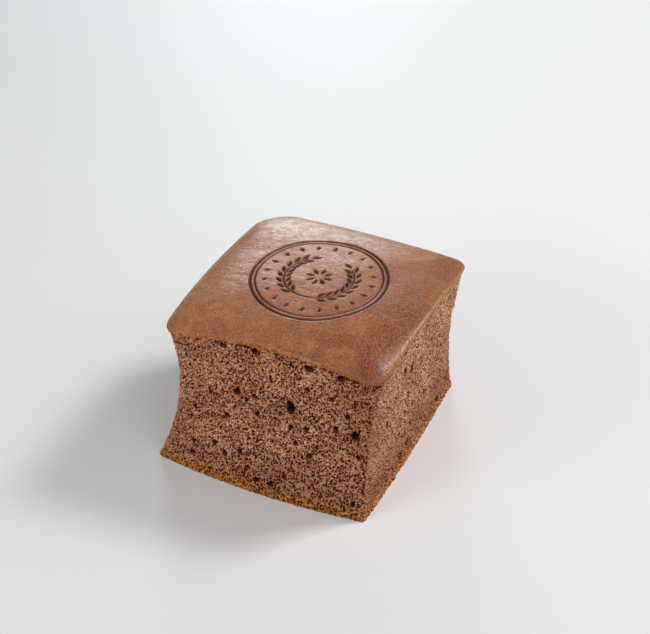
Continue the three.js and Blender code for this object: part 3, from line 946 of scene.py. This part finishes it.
CRUST_DARK = (0.42, 0.16, 0.035, 1)
CRUST_LIGHT = (0.8, 0.43, 0.14, 1)
CRUST_PIT_SHADE = (0.16, 0.05, 0.018, 1)
FLOOR_DARK = (0.8, 0.79, 0.78, 1)
FLOOR_LIGHT = (0.86, 0.855, 0.85, 1)

TO_FRONT_RIGHT = (0.6, -1, 0)  # towards the corner where crumb and skin are darkest
TO_DARK_SIDE = (0.8, -0.35, 0.0)  # towards the side where the skin is darker


def new_material(name):
    material = bpy.data.materials.new(name)
    material.use_nodes = True
    material.node_tree.nodes.clear()
    return material, Graph(material.node_tree)


def shade(graph, inputs):
    """Ends a material in its shader."""
    shader = graph.add("ShaderNodeBsdfPrincipled", inputs)
    output = graph.add("ShaderNodeOutputMaterial")
    graph.tree.links.new(shader.outputs[0], output.inputs["Surface"])


def stored(graph, name, output="Fac"):
    """A value, or with output Vector a vector, that the piece's points carry."""
    return graph.add("ShaderNodeAttribute", attribute_name=name).outputs[output]


def object_place(graph):
    return graph.add("ShaderNodeTexCoord").outputs["Object"]


def bump(graph, height, strength, distance):
    inputs = {"Height": height, "Strength": strength, "Distance": distance}
    return graph.add("ShaderNodeBump", inputs).outputs[0]


def crumb_material():
    material, g = new_material("open_crumb")
    place = stored(g, "rest", "Vector")
    pale = stored(g, "pale")
    below_skin = stored(g, "below_skin")
    height = g.along(place, UP)
    wide, fine, stray = foam(g, place, CRUMB_RELIEF)
    pore = g.most(wide, g.times(fine, 0.65))
    blotch = g.noise(place, 0.018, detail=3.0)
    creep = g.noise(place, 0.006)
    grain = g.noise(place, 0.0012, detail=1.0)
    speck = g.noise(place, 0.0009, roughness=0.6)
    speckled = g.step(speck, 0.35, 0.65)

    # The walls between the pores, blotched and with small painted highlights as glints.
    wall = g.colour_mix(speckled, WALL_DARK, WALL_LIGHT)
    wall = g.colour_mix(g.step(blotch, 0.42, 0.62, 0.0, 0.45), wall, WALL_DARK)
    painted_glint = g.step(g.noise(place, 0.0008, detail=1.0), 0.6, 0.66, 0.0, 0.75)
    wall = g.colour_mix(painted_glint, wall, PAINTED_GLINT)
    # Painted light: a paler, greyer tint where a side stands in brighter, cooler light.
    wall = g.colour_mix(pale, wall, PAINTED_LIGHT_TINT, "MULTIPLY")
    # Darker towards the foot, reaching higher on the pale sides: partly pressed crumb, partly painted
    # shade.
    pressed_and_shaded = g.step(height, 0.034, 0.006, 0.0, 0.42)
    pressed_and_shaded = g.plus(pressed_and_shaded, g.times(g.step(height, 0.055, 0.01, 0.0, 0.34), pale))
    wall = g.colour_mix(pressed_and_shaded, wall, PRESSED_AND_SHADED)
    # Darker towards the front right, most of all in a painted shadow right under the skin's overhang.
    front_right = g.along(place, TO_FRONT_RIGHT)
    front_right_dark_and_shadow = g.times(g.step(front_right, 0.07, 0.115, 0.0, 0.54), g.step(height, 0.015, 0.05, 0.35, 1.0))
    painted_shadow_under_skin = g.step(below_skin, 0.012, 0.002, 0.0, 0.36)
    front_right_dark_and_shadow = g.plus(front_right_dark_and_shadow, g.times(g.step(front_right, 0.06, 0.1), painted_shadow_under_skin))
    wall = g.colour_mix(front_right_dark_and_shadow, wall, WALL_DARK)
    corner = g.times(stored(g, "browned"), g.step(grain, 0.4, 0.55, 0.25, 1.0))
    corner = g.times(corner, g.step(g.noise(place, 0.0035), 0.36, 0.5))
    wall = g.colour_mix(corner, wall, CORNER_GOLD)

    # The golden crust creeps up the foot grain by grain, and a little down from the skin.
    line = g.plus(g.step(creep, 0.35, 0.65, 0.004, 0.0068), g.step(grain, 0.3, 0.7, -0.0024, 0.003))
    leftmost = g.step(g.along(place, (1, 0, 0)), -0.07, -0.04, 0.55, 1.0)
    line = g.times(line, leftmost, g.step(pale, 0.0, 1.0, 1.0, 0.8))
    crust = g.step(g.math("SUBTRACT", height, line), 0.0007, -0.0007)
    fringe = g.times(g.step(below_skin, 0.0052, 0.0018), g.step(creep, 0.38, 0.58, 0.1, 0.85))
    gold = g.most(crust, fringe)
    grains = g.colour_mix(speckled, GOLD_DARK, GOLD_LIGHT)
    # The same painted light tints the gold of those sides.
    grains = g.colour_mix(pale, grains, PAINTED_LIGHT_GOLD_TINT, "MULTIPLY")
    wall = g.colour_mix(gold, wall, grains)

    # Painted shade in the pores, darkening from the edge of each pore inwards.
    rim_shade_colour = g.colour_mix(gold, PORE_RIM_SHADE, GOLD_RIM_SHADE)
    deep_shade_colour = g.colour_mix(gold, PORE_DEPTH_SHADE, GOLD_DEPTH_SHADE)
    colour = g.colour_mix(g.step(pore, 0.0, 0.5, 0.0, 0.85), wall, rim_shade_colour)
    colour = g.colour_mix(g.step(pore, 0.25, 0.95), colour, deep_shade_colour)
    colour = g.colour_mix(g.times(corner, 0.55), colour, CORNER_GOLD)

    # Painted shade inside the large holes, deeper painted shadow towards their middles and in the stray
    # holes, and the colour where the skin wraps down the corner.
    colour = g.colour_mix(g.step(stored(g, "large"), 0.02, 0.16, 0.0, 0.9), colour, HOLE_SHADE)
    colour = g.colour_mix(g.times(stored(g, "core"), 0.95), colour, HOLE_SHADOW)
    colour = g.colour_mix(g.times(stray, 0.8), colour, HOLE_SHADOW)
    colour = g.colour_mix(g.times(stored(g, "wrapped"), 0.5), colour, WRAPPED)
    shade(g, {
        "Base Color": colour,
        "Roughness": g.step(speck, 0.2, 0.8, 0.9, 0.65),
        "Normal": bump(g, g.noise(place, 0.0005), 0.6, 0.0003),
        "Specular IOR Level": 0.08,
    })
    return material


def skin_material():
    material, g = new_material("baked_skin")
    place = object_place(g)
    cut = stored(g, "cut")
    burn = stored(g, "burn")
    broad = g.noise(place, 0.022, detail=3.0)
    blotch = g.noise(place, 0.0055, detail=5.0, roughness=0.62)
    fine = g.noise(place, 0.0011, detail=3.0, roughness=0.65)
    torn = g.noise(place, 0.0022, detail=4.0, roughness=0.65)

    # Darker towards the front right corner, paler and more golden in places.
    dark_side = g.step(g.along(place, TO_DARK_SIDE), -0.045, 0.08)
    deep = g.step(g.along(place, TO_FRONT_RIGHT), 0.076, 0.1, 0.0, 0.55)
    colour = g.colour_mix(dark_side, SKIN_LIGHT_SIDE, SKIN_DARK_SIDE)
    colour = g.colour_mix(g.step(broad, 0.42, 0.6, 0.0, 0.5), colour, SKIN_GOLDEN)
    colour = g.colour_mix(g.step(blotch, 0.38, 0.62, 0.0, 0.72), colour, SKIN_BLOTCH)
    colour = g.colour_mix(g.step(fine, 0.42, 0.6, 0.0, 0.38), colour, SKIN_GRAIN)
    colour = g.colour_mix(deep, colour, SKIN_DEEP)
    thin = g.times(stored(g, "thin_spot"), g.step(blotch, 0.4, 0.6, 0.3, 1.0))
    colour = g.colour_mix(g.times(thin, 0.42), colour, SKIN_THIN)

    # The cut edge, golden and granular, with a ragged upper limit.
    gold = g.colour_mix(g.step(torn, 0.4, 0.6), EDGE_DARK, EDGE_LIGHT)
    gold = g.colour_mix(g.step(fine, 0.52, 0.62, 0.0, 0.5), gold, EDGE_GRAIN)
    gold = g.colour_mix(deep, gold, EDGE_DEEP)
    edge = g.step(g.plus(cut, g.mix(torn, -0.55, 0.55)), 0.62, 0.88)
    colour = g.colour_mix(g.times(cut, 0.3), colour, RIM_GOLD)
    colour = g.colour_mix(edge, colour, gold)

    # The stamp, burned dark and scorched round its lines.
    colour = g.colour_mix(g.times(stored(g, "scorch"), 0.4), colour, SCORCHED)
    colour = g.colour_mix(burn, colour, BURNED)

    # Fine leathery grain with wrinkles along X, satin on top and dry on the edge and the stamp.
    wrinkles = g.noise(g.vector("MULTIPLY", place, (0.2, 1.0, 1.0)), 0.0012, detail=3.0)
    leather = g.plus(g.noise(place, 0.0012, detail=4.0, roughness=0.6), wrinkles)
    satin = g.plus(g.step(fine, 0.3, 0.7, 0.23, 0.3), g.step(blotch, 0.4, 0.6, 0.0, 0.09))
    shade(g, {
        "Base Color": colour,
        "Roughness": g.mix(g.most(edge, burn), satin, 0.85),
        "Normal": bump(g, leather, 0.4, 0.0004),
        "Specular IOR Level": 0.42,
    })
    return material


def crust_material():
    material, g = new_material("golden_crust")
    place = object_place(g)
    speck = g.noise(place, 0.0009, detail=3.0, roughness=0.65)
    colour = g.colour_mix(g.step(speck, 0.3, 0.7), CRUST_DARK, CRUST_LIGHT)
    # Painted shade in small pits all over the crust.
    pits = g.step(g.cells(place, 1 / 0.0015).outputs["Distance"], 0.4, 0.8)
    colour = g.colour_mix(pits, colour, CRUST_PIT_SHADE)
    shade(g, {
        "Base Color": colour,
        "Roughness": 0.85,
        "Normal": bump(g, speck, 0.6, 0.0004),
        "Specular IOR Level": 0.3,
    })
    return material


def floor_material():
    material, g = new_material("pale_floor")
    cloud = g.noise(object_place(g), 0.25, detail=3.0)
    shade(g, {"Base Color": g.colour_mix(cloud, FLOOR_DARK, FLOOR_LIGHT), "Roughness": 0.55})
    return material


# ---- stage

FLOOR_REACH = 4000  # millimetres from the cake to the floor's edges
CAMERA_PLACE = Vector((349.25, -648.05, 598.02)) * MM
CAMERA_AZIMUTH = 27.7  # degrees, from looking along +Y
CAMERA_DOWN = 35.194
CAMERA_ROLL = 1.689
FOCAL_PIXELS = 1495.58
PICTURE_WIDTH = 650
SENSOR = 36.0

STUDIO_COLOUR = (0.94, 0.97, 1.0, 1)
STUDIO_BRIGHT = 0.46
STUDIO_DIM = 0.12
DIM_SIDE = (-0.354, 0.612, 0.707)  # towards the dimmest part of the studio, above the back
LIGHT_TARGET = Vector((0, 0, 0.05))
WHITE = (1, 1, 1)
COOL = (0.86, 0.96, 1.0)
# Name, place and size in metres, power in watts, and colour.
LIGHTS = (
    ("key", (0.82, 0.88, 1.28), (0.4, 0.4), 15.5, WHITE),
    ("rim", (0.8, 1.03, 0.94), (0.1, 0.1), 1.1, WHITE),
    ("front_right", (1.0, -0.3, 1.4), (1.6, 1.6), 7.4, WHITE),
    ("back_left", (-0.87, 1.57, 0.62), (0.5, 0.5), 8, COOL),
    ("fill", (-0.62, -0.95, 0.55), (0.6, 0.45), 3.7, WHITE),
)


def add_camera():
    data = bpy.data.cameras.new("camera")
    data.sensor_width = SENSOR
    data.sensor_fit = "HORIZONTAL"
    data.lens = FOCAL_PIXELS / PICTURE_WIDTH * SENSOR
    data.clip_start = 0.05
    camera = bpy.data.objects.new("camera", data)
    turn = Matrix.Rotation(math.radians(CAMERA_AZIMUTH), 4, "Z")
    tilt = Matrix.Rotation(math.radians(90 - CAMERA_DOWN), 4, "X")
    roll = Matrix.Rotation(math.radians(-CAMERA_ROLL), 4, "Z")
    camera.matrix_world = Matrix.Translation(CAMERA_PLACE) @ turn @ tilt @ roll
    bpy.context.scene.collection.objects.link(camera)
    bpy.context.scene.camera = camera


def add_light(name, place, size, power, colour):
    data = bpy.data.lights.new(name, "AREA")
    data.shape = "RECTANGLE"
    data.size, data.size_y = size
    data.energy = power
    data.color = colour
    lamp = bpy.data.objects.new(name, data)
    lamp.location = place
    lamp.rotation_euler = (LIGHT_TARGET - Vector(place)).to_track_quat("-Z", "Y").to_euler()
    bpy.context.scene.collection.objects.link(lamp)


def add_floor():
    corners = [(FLOOR_REACH * x, FLOOR_REACH * y, 0) for x, y in CORNER_SIGNS]
    floor = make_mesh("floor", corners, [(0, 1, 2, 3)])
    floor.data.materials.append(floor_material())


def add_studio():
    """The studio's soft light from all round, dimmer above the back."""
    world = bpy.data.worlds.new("studio")
    world.use_nodes = True
    world.node_tree.nodes.clear()
    g = Graph(world.node_tree)
    facing = g.along(g.add("ShaderNodeTexCoord").outputs["Generated"], DIM_SIDE)
    strength = g.step(facing, 0.0, 0.9, STUDIO_BRIGHT, STUDIO_DIM)
    background = g.add("ShaderNodeBackground", {"Color": STUDIO_COLOUR, "Strength": strength})
    output = g.add("ShaderNodeOutputWorld")
    g.tree.links.new(background.outputs[0], output.inputs["Surface"])
    bpy.context.scene.world = world
    for light in LIGHTS:
        add_light(*light)
    bpy.context.scene.view_settings.view_transform = "Standard"


def dress(piece):
    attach(piece, "root")
    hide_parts("sponge_cake")


def main():
    add_camera()
    add_floor()
    add_studio()
    cloud = holes_cloud(crumb_holes())
    tree = crumb_tree()
    crumb = crumb_material()
    for side in range(4):
        dress(crumb_side(side, tree, cloud, crumb))
    bpy.data.objects.remove(cloud)
    dress(top_skin(skin_material()))
    dress(bottom_crust(crust_material()))


main()
